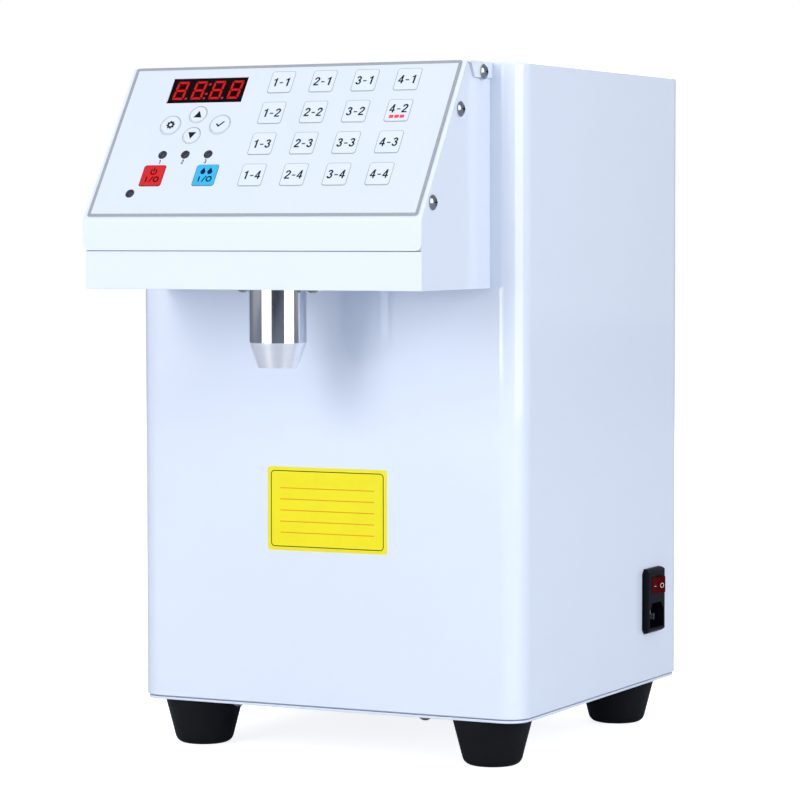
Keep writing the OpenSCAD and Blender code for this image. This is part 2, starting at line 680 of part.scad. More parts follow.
module inlet_socket() {
    color(black) difference() {
        union() {
            // bezel with bevelled sides
            intersection() {
                translate([in_x, in_y, in_z]) rotate([90, 0, 90]) linear_extrude(in_t) inlet_outline(31.8, 43, 3);
                translate([0, 0, in_z - 30]) linear_extrude(60) polygon([[in_x, in_y - 15.9],
                    [in_x + in_t - 1.6, in_y - 15.5], [in_x + in_t, in_y - 14], [in_x + in_t, in_y + 14],
                    [in_x + in_t - 1.6, in_y + 15.5], [in_x, in_y + 15.9]]);
                translate([0, in_y + 30, 0]) rotate([90, 0, 0]) linear_extrude(60) polygon([[in_x, in_z - 21.5],
                    [in_x + in_t - 1.6, in_z - 21.1], [in_x + in_t, in_z - 19.6], [in_x + in_t, in_z + 19.6],
                    [in_x + in_t - 1.6, in_z + 21.1], [in_x, in_z + 21.5]]);
            }
            translate([in_x - 30, in_y - 13.5, in_z - 19]) cube([30.1, 27, 38]);
            // spade terminals
            for (y = [-8, 0, 8]) translate([in_x - 38, in_y + y - 2.4, soc_z - 0.4]) cube([9, 4.8, 0.8]);
        }
        // pocket of the rocker
        translate([rk_x, rk_y, rk_z - 5.45]) cylinder(r = rk_r + 0.25, h = 10.9);
        // socket for the plug, two corners cut
        translate([in_x - 17, in_y, soc_z]) rotate([90, 0, 90]) linear_extrude(30)
            polygon([[-12, -8.25], [12, -8.25], [12, 3.5], [7.5, 8.25], [-7.5, 8.25], [-12, 3.5]]);
    }
}

module inlet_pins() {
    color(steel) for (p = [[-7, -2], [7, -2], [0, 2]])
        translate([in_x - 17, in_y + p[0] - 1, soc_z + p[1] - 2]) cube([16.2, 2, 4]);
}

// rocker at rest: its +Y end stands out
module power_rocker() {
    color([0.6, 0.05, 0.06]) translate([rk_x, rk_y, rk_z - 5.25]) rotate([0, 0, -rk_tilt]) difference() {
        intersection() {
            cylinder(r = rk_r, h = 10.5, $fn = 96);
            translate([-2.5, -12, -1]) cube([2.5 + rk_h, 24, 13]);
        }
        translate([rk_h + 59.6, 0, -1]) cylinder(r = 60, h = 13, $fn = 200);
    }
}

// ---------- feet and sticker ----------

module rubber_feet() {
    color(black) for (p = feet) translate([p[0], p[1], 0]) difference() {
        rotate_extrude($fn = 96) polygon(concat([[0, 0]], arc([foot_r2 - 6, 6], 6, -90, -14, 7),
            [[foot_r1, foot_h - 0.8], [foot_r1 - 0.6, foot_h], [0, foot_h]]));
        translate([0, 0, -1]) cylinder(r = 6.5, h = 15);
        cylinder(r = 2.6, h = foot_h + 1);
    }
}

module foot_screws() {
    color(steel) for (p = feet) translate([p[0], p[1], 14]) rotate([180, 0, 0]) pan_screw(2.5, 4.6, 2.7, 24);
}

module front_sticker() {
    color([0.95, 0.88, 0.12]) translate([2, y_f, z_sh + 123.6]) rotate([90, 0, 0]) linear_extrude(0.2)
        rr2(83.8, 52.4, 1.5);
}

body_shell();
rear_cover();
base_plate();
case_screws();
head_box();
panel_cover();
panel_screws();
control_overlay();
display_window();
led_display();
indicator_leds();
control_board();
dose_key(1, 1);  // key_1_1
dose_key(1, 2);  // key_1_2
dose_key(1, 3);  // key_1_3
dose_key(1, 4);  // key_1_4
dose_key(2, 1);  // key_2_1
dose_key(2, 2);  // key_2_2
dose_key(2, 3);  // key_2_3
dose_key(2, 4);  // key_2_4
dose_key(3, 1);  // key_3_1
dose_key(3, 2);  // key_3_2
dose_key(3, 3);  // key_3_3
dose_key(3, 4);  // key_3_4
dose_key(4, 1);  // key_4_1
dose_key(4, 2);  // key_4_2
dose_key(4, 3);  // key_4_3
dose_key(4, 4);  // key_4_4
round_key(up_c, small_r);  // key_up
round_key(down_c, small_r);  // key_down
round_key(set_c, large_r);  // key_set
round_key(save_c, large_r);  // key_save
square_key(power_c, 14.6, 14.9, 1.2, [0.9, 0.18, 0.2]);  // key_power
square_key(flow_c, 14.6, 14.9, 1.2, [0.25, 0.75, 0.95]);  // key_flow
nozzle_sleeve();
nozzle_tip();
valve_body();
valve_poppet();
valve_spring();
tank();
tank_outlet();
tank_lid();
lid_knob();
heater_band();
pump_housing();
pump_cover();
drive_gear();
driven_gear();
motor_shaft();
motor_bracket();
pump_motor();
suction_hose();
delivery_hose();
power_supply();
inlet_socket();
inlet_pins();
power_rocker();
rubber_feet();
foot_screws();
front_sticker();
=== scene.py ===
"""Looks of the counter-top syrup dispenser: finishes, rounded sheet edges, printed panel details,
light and camera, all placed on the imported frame. Metres, +Z up, the front faces -Y."""

import json
import math

import bmesh
import bpy
from mathutils import Matrix, Vector

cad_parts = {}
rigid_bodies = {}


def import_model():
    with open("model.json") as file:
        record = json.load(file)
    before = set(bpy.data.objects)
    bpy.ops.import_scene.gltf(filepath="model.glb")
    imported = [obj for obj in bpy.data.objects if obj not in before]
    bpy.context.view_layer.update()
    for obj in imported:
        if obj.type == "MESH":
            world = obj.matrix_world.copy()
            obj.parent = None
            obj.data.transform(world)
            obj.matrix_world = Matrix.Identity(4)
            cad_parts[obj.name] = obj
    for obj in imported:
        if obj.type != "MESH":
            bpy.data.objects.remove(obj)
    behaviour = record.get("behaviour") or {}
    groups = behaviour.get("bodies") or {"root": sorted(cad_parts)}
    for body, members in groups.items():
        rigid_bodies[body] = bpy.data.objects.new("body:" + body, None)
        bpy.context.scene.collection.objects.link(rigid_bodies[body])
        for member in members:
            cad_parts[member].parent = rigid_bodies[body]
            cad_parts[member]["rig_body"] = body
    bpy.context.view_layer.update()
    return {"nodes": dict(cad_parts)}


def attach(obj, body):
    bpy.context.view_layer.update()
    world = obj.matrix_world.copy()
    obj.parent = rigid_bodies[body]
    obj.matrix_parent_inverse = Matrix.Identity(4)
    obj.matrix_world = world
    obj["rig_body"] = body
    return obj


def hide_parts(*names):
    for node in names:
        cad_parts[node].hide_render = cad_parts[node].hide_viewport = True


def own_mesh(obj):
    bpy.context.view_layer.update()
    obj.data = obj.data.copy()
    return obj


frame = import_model()
N = frame["nodes"]


MM = 0.001
scene = bpy.context.scene
scene.view_settings.view_transform = "Standard"
scene.view_settings.look = "None"
scene.view_settings.exposure = 0.0
scene.view_settings.gamma = 1.0

# ---------------------------------------------------------------- layout, as in the construction
Y_F, Y_R, Y_H = -83.0, 178.0, -178.0
Z_SH, Z_TOP, Z_HB, Z_LIP, Z_B = 32.5, 431.5, 295.0, 318.3, 336.6
Y_T = -115.5
SL_A = math.atan2(Z_TOP - Z_B, Y_T - Y_H)
OVER_T = 0.4
OVER_C, OVER_WH = (-1.0, 57.9), (224.8, 110.4)
WIN_C, WIN_WH = (-58.0, 95.9), (52.0, 17.6)
LED_C = [(-74.4, 47.7), (-58.4, 47.7), (-42.4, 47.7), (-88.5, 19.4)]
UP_C, DOWN_C, SET_C, SAVE_C = (-58.5, 77.5), (-58.5, 62.0), (-75.8, 69.8), (-40.9, 69.8)
POWER_C, FLOW_C = (-76.6, 32.4), (-39.5, 32.4)
KEY_TOP = 0.55
STICKER_C = (2.0, Z_SH + 123.6)


def key_c(c, r):
    return (-7.2 + (c - 1) * 28.6, 100.3 - (r - 1) * 22.7)


# panel frame: x across, y up the slope, z out of it, in millimetres
PANEL = Matrix.Translation((0, Y_H * MM, Z_B * MM)) @ Matrix.Rotation(SL_A, 4, "X") @ Matrix.Scale(MM, 4)
# front of the cabinet: x across, y up, z out of it, in millimetres
FRONT = Matrix.Translation((0, Y_F * MM, 0)) @ Matrix.Rotation(math.pi / 2, 4, "X") @ Matrix.Scale(MM, 4)

# ---------------------------------------------------------------- camera
cam_data = bpy.data.cameras.new("camera")
cam_data.sensor_width = 36.0
cam_data.lens = 147.09
cam_data.clip_end = 50.0
camera = bpy.data.objects.new("camera", cam_data)
scene.collection.objects.link(camera)
CAM_AZ, CAM_PITCH, CAM_ROLL = math.radians(26.578), math.radians(3.018), math.radians(-0.083)
camera.matrix_world = (
    Matrix.Translation((0.9515, -1.8790, 0.3319))
    @ Matrix.Rotation(CAM_AZ, 4, "Z")
    @ Matrix.Rotation(math.pi / 2 - CAM_PITCH, 4, "X")
    @ Matrix.Rotation(CAM_ROLL, 4, "Z")
)
scene.camera = camera


# ---------------------------------------------------------------- materials
def srgb(r, g, b):
    """linear colour of an sRGB triple in 0..255"""
    out = []
    for v in (r, g, b):
        v /= 255.0
        out.append(v / 12.92 if v <= 0.04045 else ((v + 0.055) / 1.055) ** 2.4)
    return tuple(out) + (1.0,)


def shade(c, k):
    return (min(1, c[0] * k), min(1, c[1] * k), min(1, c[2] * k), 1.0)


class Mat:
    """A principled material with its own noise for colour, roughness and bump."""

    def __init__(self, name, **sockets):
        self.m = bpy.data.materials.new(name)
        self.m.use_nodes = True
        self.t = self.m.node_tree
        self.t.nodes.clear()
        self.out = self.t.nodes.new("ShaderNodeOutputMaterial")
        self.p = self.t.nodes.new("ShaderNodeBsdfPrincipled")
        self.t.links.new(self.p.outputs["BSDF"], self.out.inputs["Surface"])
        self.co = self.t.nodes.new("ShaderNodeTexCoord")
        self.height = None
        for k, v in sockets.items():
            self.set(k.replace("_", " "), v)

    def set(self, socket, value):
        self.p.inputs[socket].default_value = value

    def coords(self, scale=(1, 1, 1)):
        mp = self.t.nodes.new("ShaderNodeMapping")
        mp.inputs["Scale"].default_value = scale
        self.t.links.new(self.co.outputs["Object"], mp.inputs["Vector"])
        return mp.outputs["Vector"]

    def noise(self, scale, detail=4.0, rough=0.55, stretch=(1, 1, 1), distortion=0.0):
        n = self.t.nodes.new("ShaderNodeTexNoise")
        n.inputs["Scale"].default_value = scale
        n.inputs["Detail"].default_value = detail
        n.inputs["Roughness"].default_value = rough
        n.inputs["Distortion"].default_value = distortion
        self.t.links.new(self.coords(stretch), n.inputs["Vector"])
        return n.outputs["Fac"]

    def ramp(self, fac, stops):
        r = self.t.nodes.new("ShaderNodeValToRGB")
        el = r.color_ramp.elements
        while len(el) < len(stops):
            el.new(0.5)
        for e, (pos, col) in zip(el, stops):
            e.position = pos
            e.color = col
        self.t.links.new(fac, r.inputs["Fac"])
        return r.outputs["Color"]

    def span(self, fac, lo, hi, a=0.3, b=0.7):
        m = self.t.nodes.new("ShaderNodeMapRange")
        m.inputs["From Min"].default_value = a
        m.inputs["From Max"].default_value = b
        m.inputs["To Min"].default_value = lo
        m.inputs["To Max"].default_value = hi
        self.t.links.new(fac, m.inputs["Value"])
        return m.outputs["Result"]

    def colour(self, base, scale, amount=0.04, detail=5.0, stretch=(1, 1, 1)):
        fac = self.noise(scale, detail, 0.6, stretch)
        out = self.ramp(fac, [(0.3, shade(base, 1 - amount)), (0.7, shade(base, 1 + amount))])
        self.t.links.new(out, self.p.inputs["Base Color"])
        return self

    def rough(self, lo, hi, scale, detail=4.0, stretch=(1, 1, 1)):
        fac = self.noise(scale, detail, 0.6, stretch)
        self.t.links.new(self.span(fac, lo, hi), self.p.inputs["Roughness"])
        return self

    def bump(self, scale, strength, distance, detail=3.0, stretch=(1, 1, 1), coat=False):
        fac = self.noise(scale, detail, 0.5, stretch)
        b = self.t.nodes.new("ShaderNodeBump")
        b.inputs["Strength"].default_value = strength
        b.inputs["Distance"].default_value = distance
        self.t.links.new(fac, b.inputs["Height"])
        if self.height is not None:
            self.t.links.new(self.height, b.inputs["Normal"])
        self.height = b.outputs["Normal"]
        self.t.links.new(self.height, self.p.inputs["Normal"])
        if coat:
            self.t.links.new(self.height, self.p.inputs["Coat Normal"])
        return self

    def turned(self, pitch, strength, distance):
        """fine rings left by turning, about a vertical axis"""
        return self.bump(1.0 / pitch, strength, distance, 2.0, (0.02, 0.02, 1.0))


ENAMEL_C = srgb(225, 234, 249)
enamel = Mat("enamel", Coat_Weight=0.9, Coat_Roughness=0.05, Specular_IOR_Level=0.1)
enamel.colour(ENAMEL_C, 9.0, 0.008).rough(0.30, 0.38, 40.0).bump(420.0, 0.022, 0.0004, 2.0, coat=True)

film = Mat("panel_film", Coat_Weight=0.25, Coat_Roughness=0.12)
film.colour(srgb(217, 226, 238), 30.0, 0.008).rough(0.30, 0.38, 120.0).bump(1500.0, 0.04, 0.0001)

key_film = Mat("key_film", Coat_Weight=0.25, Coat_Roughness=0.1)
key_film.colour(srgb(219, 228, 240), 60.0, 0.01).rough(0.29, 0.36, 200.0).bump(900.0, 0.04, 0.0001)

key_red = Mat("key_film_red", Coat_Weight=0.1, Coat_Roughness=0.1, Specular_IOR_Level=0.25)
key_red.colour(srgb(211, 30, 34), 160.0, 0.05).rough(0.28, 0.36, 300.0).bump(900.0, 0.05, 0.0001)

key_blue = Mat("key_film_blue", Coat_Weight=0.1, Coat_Roughness=0.1, Specular_IOR_Level=0.25)
key_blue.colour(srgb(57, 179, 227), 160.0, 0.04).rough(0.28, 0.36, 300.0).bump(900.0, 0.05, 0.0001)

ink_grey = Mat("ink_grey", Specular_IOR_Level=0.1)
ink_grey.colour(srgb(159, 163, 172), 300.0, 0.05).rough(0.35, 0.45, 300.0)

# dark grey: printed rings around the indicator LEDs, and the painted shade in the gap under the cover's lip
ring_ink_and_painted_shade = Mat("ring_ink_and_painted_shade", Specular_IOR_Level=0.1)
ring_ink_and_painted_shade.colour(srgb(60, 60, 68), 400.0, 0.06).rough(0.35, 0.45, 300.0)

ink_line = Mat("ink_line", Specular_IOR_Level=0.1)
ink_line.colour(srgb(150, 154, 158), 400.0, 0.06).rough(0.35, 0.45, 300.0)

ink_dark = Mat("ink_dark", Specular_IOR_Level=0.1)
ink_dark.colour(srgb(22, 26, 34), 500.0, 0.12).rough(0.35, 0.5, 400.0)

ink_red = Mat("ink_red", Specular_IOR_Level=0.1)
ink_red.colour(srgb(232, 74, 92), 500.0, 0.08).rough(0.35, 0.5, 400.0)

ink_maroon = Mat("ink_maroon", Specular_IOR_Level=0.1)
ink_maroon.colour(srgb(58, 4, 14), 500.0, 0.08).rough(0.35, 0.5, 400.0)

ink_navy = Mat("ink_navy", Specular_IOR_Level=0.1)
ink_navy.colour(srgb(6, 26, 78), 500.0, 0.08).rough(0.35, 0.5, 400.0)

window = Mat("display_window", Coat_Weight=0.0, Specular_IOR_Level=0.04)
window.colour(srgb(11, 10, 13), 120.0, 0.15).rough(0.16, 0.24, 200.0)

led_red = Mat("segment_red", Emission_Strength=0.62, Roughness=0.4, Specular_IOR_Level=0.1)
led_red.colour(srgb(96, 6, 6), 600.0, 0.08)
led_red.t.links.new(
    led_red.ramp(led_red.noise(420.0, 2.0), [(0.3, srgb(225, 22, 20)), (0.7, srgb(240, 34, 34))]),
    led_red.p.inputs["Emission Color"],
)

led_dim = Mat("segment_dim", Emission_Strength=0.34, Roughness=0.4, Specular_IOR_Level=0.1)
led_dim.colour(srgb(110, 20, 24), 600.0, 0.08)
led_dim.t.links.new(
    led_dim.ramp(led_dim.noise(420.0, 2.0), [(0.3, srgb(205, 60, 70)), (0.7, srgb(225, 84, 90))]),
    led_dim.p.inputs["Emission Color"],
)

led_lens = Mat("led_lens", Coat_Weight=0.1, Coat_Roughness=0.1, Specular_IOR_Level=0.2)
led_lens.colour(srgb(62, 63, 71), 500.0, 0.2).rough(0.18, 0.26, 300.0)

display_case = Mat("display_case")
display_case.colour(srgb(30, 30, 33), 200.0, 0.15).rough(0.4, 0.55, 200.0)

board = Mat("board_green", Coat_Weight=0.4, Coat_Roughness=0.2)
board.colour(srgb(28, 92, 52), 180.0, 0.18, 6.0).rough(0.35, 0.5, 300.0).bump(700.0, 0.2, 0.0002)

polished = Mat("steel_polished", Metallic=1.0)
polished.colour(srgb(214, 216, 224), 60.0, 0.02, 3.0, (1, 1, 0.1)).rough(0.05, 0.10, 300.0, 3.0, (1, 1, 0.08)).bump(
    900.0, 0.04, 0.00005, 2.0, (1, 1, 0.03)
)

satin = Mat("steel_satin", Metallic=0.7)
satin.colour(srgb(243, 245, 252), 80.0, 0.03, 4.0, (0.1, 0.1, 3)).rough(0.29, 0.38, 400.0, 3.0, (0.05, 0.05, 2))
satin.turned(0.0006, 0.15, 0.00005)
satin.set("Anisotropic", 0.8)
satin.set("Anisotropic Rotation", 0.25)
satin_t = satin.t.nodes.new("ShaderNodeTangent")
satin_t.direction_type = "RADIAL"
satin_t.axis = "Z"
satin.t.links.new(satin_t.outputs["Tangent"], satin.p.inputs["Tangent"])

steel_sheet = Mat("steel_sheet", Metallic=1.0)
steel_sheet.colour(srgb(206, 208, 212), 30.0, 0.04, 5.0, (0.15, 1, 1)).rough(0.29, 0.38, 160.0, 4.0, (0.06, 1, 1)).bump(
    1200.0, 0.12, 0.00006, 3.0, (0.03, 1, 1)
)

plated = Mat("screw_plated", Metallic=1.0)
plated.colour(srgb(146, 150, 158), 300.0, 0.08).rough(0.04, 0.09, 500.0).bump(1500.0, 0.08, 0.00004)

brass = Mat("brass_turned", Metallic=1.0)
brass.colour(srgb(205, 178, 108), 120.0, 0.08).rough(0.29, 0.38, 300.0).turned(0.0008, 0.25, 0.00008)

pin_metal = Mat("pin_metal", Metallic=0.9)
pin_metal.colour(srgb(214, 214, 212), 400.0, 0.06).rough(0.16, 0.26, 400.0)

knob = Mat("knob_black", Coat_Weight=0.2, Coat_Roughness=0.2, Specular_IOR_Level=0.4)
knob.colour(srgb(30, 30, 33), 120.0, 0.15).rough(0.30, 0.42, 200.0).bump(1400.0, 0.12, 0.00008)

inlet = Mat("inlet_black", Specular_IOR_Level=0.045)
inlet.colour(srgb(12, 15, 22), 160.0, 0.15).rough(0.36, 0.5, 240.0).bump(1600.0, 0.16, 0.00008)

rocker = Mat("rocker_red", Coat_Weight=0.0, Specular_IOR_Level=0.02)
rocker.colour(srgb(76, 3, 6), 200.0, 0.12).rough(0.18, 0.26, 300.0)

edge_red = Mat("ink_edge_red", Specular_IOR_Level=0.1)
edge_red.colour(srgb(100, 24, 34), 400.0, 0.06).rough(0.35, 0.45, 300.0)

edge_blue = Mat("ink_edge_blue", Specular_IOR_Level=0.1)
edge_blue.colour(srgb(62, 122, 152), 400.0, 0.06).rough(0.35, 0.45, 300.0)

# dark red patch under each digit: painted glow of the lit segments spreading in the window
led_painted_glow = Mat("segment_painted_glow", Specular_IOR_Level=0.04)
led_painted_glow.colour(srgb(40, 6, 9), 300.0, 0.1).rough(0.16, 0.24, 200.0)

ink_white = Mat("ink_white", Specular_IOR_Level=0.1)
ink_white.colour(srgb(232, 226, 226), 500.0, 0.05).rough(0.35, 0.5, 400.0)

rubber = Mat("foot_rubber", Specular_IOR_Level=0.16)
rubber.colour(srgb(16, 17, 20), 60.0, 0.16, 6.0).rough(0.50, 0.66, 120.0).bump(900.0, 0.22, 0.00012)

heater = Mat("heater_mat")
heater.colour(srgb(196, 92, 48), 90.0, 0.08).rough(0.5, 0.62, 160.0).bump(320.0, 0.4, 0.0003)

pump_metal = Mat("pump_cast", Metallic=1.0)
pump_metal.colour(srgb(186, 190, 194), 70.0, 0.08, 6.0).rough(0.34, 0.5, 200.0).bump(700.0, 0.25, 0.0002)

gear = Mat("gear_polymer")
gear.colour(srgb(226, 224, 210), 90.0, 0.03).rough(0.34, 0.46, 200.0).bump(900.0, 0.08, 0.0001)

poppet = Mat("poppet_polymer")
poppet.colour(srgb(222, 214, 190), 90.0, 0.04).rough(0.34, 0.46, 200.0).bump(900.0, 0.08, 0.0001)

motor_can = Mat("motor_can", Coat_Weight=0.2, Coat_Roughness=0.2)
motor_can.colour(srgb(60, 62, 68), 90.0, 0.1).rough(0.34, 0.46, 160.0).bump(500.0, 0.1, 0.0002)

hose = Mat("hose_silicone", Transmission_Weight=0.25, Coat_Weight=0.2)
hose.colour(srgb(214, 222, 228), 60.0, 0.05).rough(0.3, 0.42, 160.0).bump(300.0, 0.08, 0.0003)

supply = Mat("supply_case", Metallic=1.0)
supply.colour(srgb(190, 192, 198), 50.0, 0.08, 6.0).rough(0.32, 0.46, 150.0).bump(600.0, 0.12, 0.0001)

vinyl = Mat("sticker_vinyl", Coat_Weight=0.1, Coat_Roughness=0.12, Specular_IOR_Level=0.25)
vinyl.colour(srgb(243, 230, 14), 60.0, 0.025).rough(0.28, 0.38, 200.0).bump(300.0, 0.06, 0.0002)

ink_frame = Mat("ink_frame", Specular_IOR_Level=0.1)
ink_frame.colour(srgb(44, 42, 20), 500.0, 0.1).rough(0.35, 0.5, 400.0)

ink_rule = Mat("ink_rule", Specular_IOR_Level=0.1)
ink_rule.colour(srgb(226, 140, 20), 500.0, 0.06).rough(0.35, 0.5, 400.0)


# ---------------------------------------------------------------- mesh helpers
def link(o):
    scene.collection.objects.link(o)
    return o


def body_of(node):
    return N[node]["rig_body"]


def finish_mesh(me, angle=40.0):
    for p in me.polygons:
        p.use_smooth = True
    me.set_sharp_from_angle(angle=math.radians(angle))


def dress(node, mat, weight, width, segments=3, profile=0.5, angle=28.0, name=None):
    """A copy of a CAD node with its sheet and moulding edges rounded. weight(edge, mid) gives
    how much of width an edge gets, 0 leaves it."""
    me = N[node].data.copy()
    me.name = (name or node) + "_skin"
    bm = bmesh.new()
    bm.from_mesh(me)
    bmesh.ops.remove_doubles(bm, verts=bm.verts, dist=2e-6)
    bmesh.ops.dissolve_degenerate(bm, dist=1e-6, edges=bm.edges)
    bmesh.ops.dissolve_limit(bm, angle_limit=math.radians(0.4), verts=bm.verts, edges=bm.edges, use_dissolve_boundaries=False)
    lay = bm.edges.layers.float.get("bevel_weight_edge") or bm.edges.layers.float.new("bevel_weight_edge")
    bm.normal_update()
    for e in bm.edges:
        w = 0.0
        if len(e.link_faces) == 2 and e.calc_face_angle(0.0) > math.radians(angle):
            mid = (e.verts[0].co + e.verts[1].co) / 2 * 1000
            w = weight(e, mid)
        e[lay] = w
    bm.to_mesh(me)
    bm.free()
    o = link(bpy.data.objects.new(me.name, me))
    mod = o.modifiers.new("round", "BEVEL")
    mod.limit_method = "WEIGHT"
    mod.width = width * MM
    mod.segments = segments
    mod.profile = profile
    mod.use_clamp_overlap = False
    mod.miter_outer = "MITER_ARC"
    mod.harden_normals = False
    bpy.context.view_layer.update()
    dg = bpy.context.evaluated_depsgraph_get()
    done = bpy.data.meshes.new_from_object(o.evaluated_get(dg))
    o.modifiers.clear()
    o.data = done
    done.name = me.name
    done.materials.clear()
    done.materials.append(mat.m)
    for p in done.polygons:
        p.material_index = 0
    finish_mesh(done, 32.0)
    wn = o.modifiers.new("normals", "WEIGHTED_NORMAL")
    wn.keep_sharp = True
    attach(o, body_of(node))
    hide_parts(node)
    return o


def paint(mat, *nodes):
    for n in nodes:
        o = N[n]
        if not o.material_slots:
            o.data.materials.append(mat.m)
        for s in o.material_slots:
            s.material = mat.m


def rr_pts(cx, cy, w, h, r, n=6):
    out = []
    for qx, qy, a0 in ((1, 1, 0), (-1, 1, 90), (-1, -1, 180), (1, -1, 270)):
        for i in range(n + 1):
            a = math.radians(a0 + 90 * i / n)
            out.append((cx + qx * (w / 2 - r) + r * math.cos(a), cy + qy * (h / 2 - r) + r * math.sin(a)))
    return out


def circle_pts(cx, cy, r, n=40):
    return [(cx + r * math.cos(2 * math.pi * i / n), cy + r * math.sin(2 * math.pi * i / n)) for i in range(n)]


class Print:
    """Thin flat shapes gathered into one mesh, drawn in a flat frame in millimetres: prints, lit digits, the painted
    glow under the digits and the painted shade in the gap under the lip.
    """

    def __init__(self):
        self.v, self.f = [], []

    def solid(self, pts, z0, z1):
        b, n = len(self.v), len(pts)
        self.v += [(x, y, z0) for x, y in pts] + [(x, y, z1) for x, y in pts]
        self.f.append([b + n + i for i in range(n)])
        self.f.append([b + i for i in reversed(range(n))])
        self.f += [[b + i, b + (i + 1) % n, b + n + (i + 1) % n, b + n + i] for i in range(n)]
        return self

    def ring(self, outer, inner, z0, z1):
        b, n = len(self.v), len(outer)
        for pts in (outer, inner):
            self.v += [(x, y, z0) for x, y in pts] + [(x, y, z1) for x, y in pts]
        o0, o1, i0, i1 = b, b + n, b + 2 * n, b + 3 * n
        for k in range(n):
            m = (k + 1) % n
            self.f.append([o1 + k, o1 + m, i1 + m, i1 + k])
            self.f.append([o0 + m, o0 + k, i0 + k, i0 + m])
            self.f.append([o0 + k, o0 + m, o1 + m, o1 + k])
            self.f.append([i0 + m, i0 + k, i1 + k, i1 + m])
        return self

    def mesh(self, verts, faces, dx, dy, z):
        b = len(self.v)
        self.v += [(x + dx, y + dy, zz + z) for x, y, zz in verts]
        self.f += [[b + i for i in f] for f in faces]
        return self

    def make(self, name, mat, place, body):
        me = bpy.data.meshes.new(name)
        me.from_pydata([tuple(place @ Vector(p)) for p in self.v], [], self.f)
        me.materials.append(mat.m)
        me.validate()
        bm = bmesh.new()
        bm.from_mesh(me)
        bmesh.ops.recalc_face_normals(bm, faces=bm.faces)
        bm.to_mesh(me)
        bm.free()
        o = link(bpy.data.objects.new(name, me))
        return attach(o, body)


def para(cx, cy, w, h, lean=0.0):
    return [(cx - w / 2 - lean * h / 2, cy - h / 2), (cx + w / 2 - lean * h / 2, cy - h / 2),
            (cx + w / 2 + lean * h / 2, cy + h / 2), (cx - w / 2 + lean * h / 2, cy + h / 2)]


# ---------------------------------------------------------------- sheet metal
def body_w(e, m):
    if m.z > Z_TOP - 0.05 and math.hypot(m.x, m.y - 47.5) > 125:
        return 1.0
    if m.z > Z_TOP - 0.05:
        return 0.2
    if m.z < Z_SH + 0.05 and (abs(m.x) > 125 or m.y < -75 or m.y > 170):
        return 0.25
    return 0.0


dress("body_shell", enamel, body_w, 1.5, 4)
dress("head_box", enamel, lambda e, m: 1.0, 0.3, 2)
dress("panel_cover", enamel, lambda e, m: 1.0 if abs((m.x)) > 112 or m.z < Z_LIP + 4.5 else 0.0, 0.25, 2)
dress("rear_cover", enamel, lambda e, m: 1.0, 0.3, 2)
dress("base_plate", enamel, lambda e, m: 1.0 if m.z < 31.7 else 0.0, 0.4, 3)

# ---------------------------------------------------------------- keys
for c in range(1, 5):
    for r in range(1, 5):
        dress("key_%d_%d" % (c, r), key_film, lambda e, m: 1.0, 0.1, 2)
for k in ("key_up", "key_down", "key_set", "key_save"):
    dress(k, key_film, lambda e, m: 1.0, 0.1, 2)
dress("key_power", key_red, lambda e, m: 1.0, 0.12, 2)
dress("key_flow", key_blue, lambda e, m: 1.0, 0.12, 2)

# ---------------------------------------------------------------- metal and mouldings
paint(film, "control_overlay")
paint(window, "display_window")
paint(display_case, "led_display")
paint(led_lens, "indicator_leds")
paint(board, "control_board")
paint(polished, "tank", "nozzle_sleeve")
paint(satin, "nozzle_tip", "valve_body", "valve_spring")
paint(steel_sheet, "motor_bracket", "tank_lid")
paint(plated, "case_screws", "panel_screws", "foot_screws", "motor_shaft")
paint(brass, "tank_outlet")
paint(pin_metal, "inlet_pins")
paint(knob, "lid_knob")
paint(inlet, "inlet_socket")
paint(rocker, "power_rocker")
paint(rubber, "rubber_feet")
paint(heater, "heater_band")
paint(pump_metal, "pump_housing", "pump_cover")
paint(gear, "drive_gear", "driven_gear")
paint(poppet, "valve_poppet")
paint(motor_can, "pump_motor")
paint(hose, "suction_hose", "delivery_hose")
paint(supply, "power_supply")
paint(vinyl, "front_sticker")

# a copy of the valve spring with its own mesh rides the spring's body in place of the CAD node
coil = link(bpy.data.objects.new("valve_coil", N["valve_spring"].data.copy()))
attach(coil, body_of("valve_spring"))
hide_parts("valve_spring")
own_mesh(coil)

# ---------------------------------------------------------------- prints on the film
T0, T1 = OVER_T - 0.01, OVER_T + 0.03
border = Print()
border.ring(rr_pts(*OVER_C, OVER_WH[0] + 0.6, OVER_WH[1] + 0.5, 1.8), rr_pts(*OVER_C, OVER_WH[0] - 3.7, OVER_WH[1] - 3.7, 0.6), T0, T1)
border.make("film_border", ink_grey, PANEL, "root")

led_rings = Print()
for x, y in LED_C:
    led_rings.ring(circle_pts(x, y - 0.15, 3.0), circle_pts(x, y - 0.1, 1.9), T0, T1)
led_rings.make("led_rings", ring_ink_and_painted_shade, PANEL, "root")

# black surround of the display window
mask = Print()
wx, wy = WIN_C
mask.solid([(wx - 26.2, wy - 9.75), (wx + 26.6, wy - 9.75), (wx + 26.6, wy - 8.75), (wx - 26.2, wy - 8.75)], T0, T1)
mask.solid([(wx + 25.95, wy - 8.75), (wx + 26.6, wy - 8.75), (wx + 26.6, wy + 8.85), (wx + 25.95, wy + 8.85)], T0, T1)
mask.make("window_surround", window, PANEL, "root")

K0, K1 = KEY_TOP - 0.01, KEY_TOP + 0.03


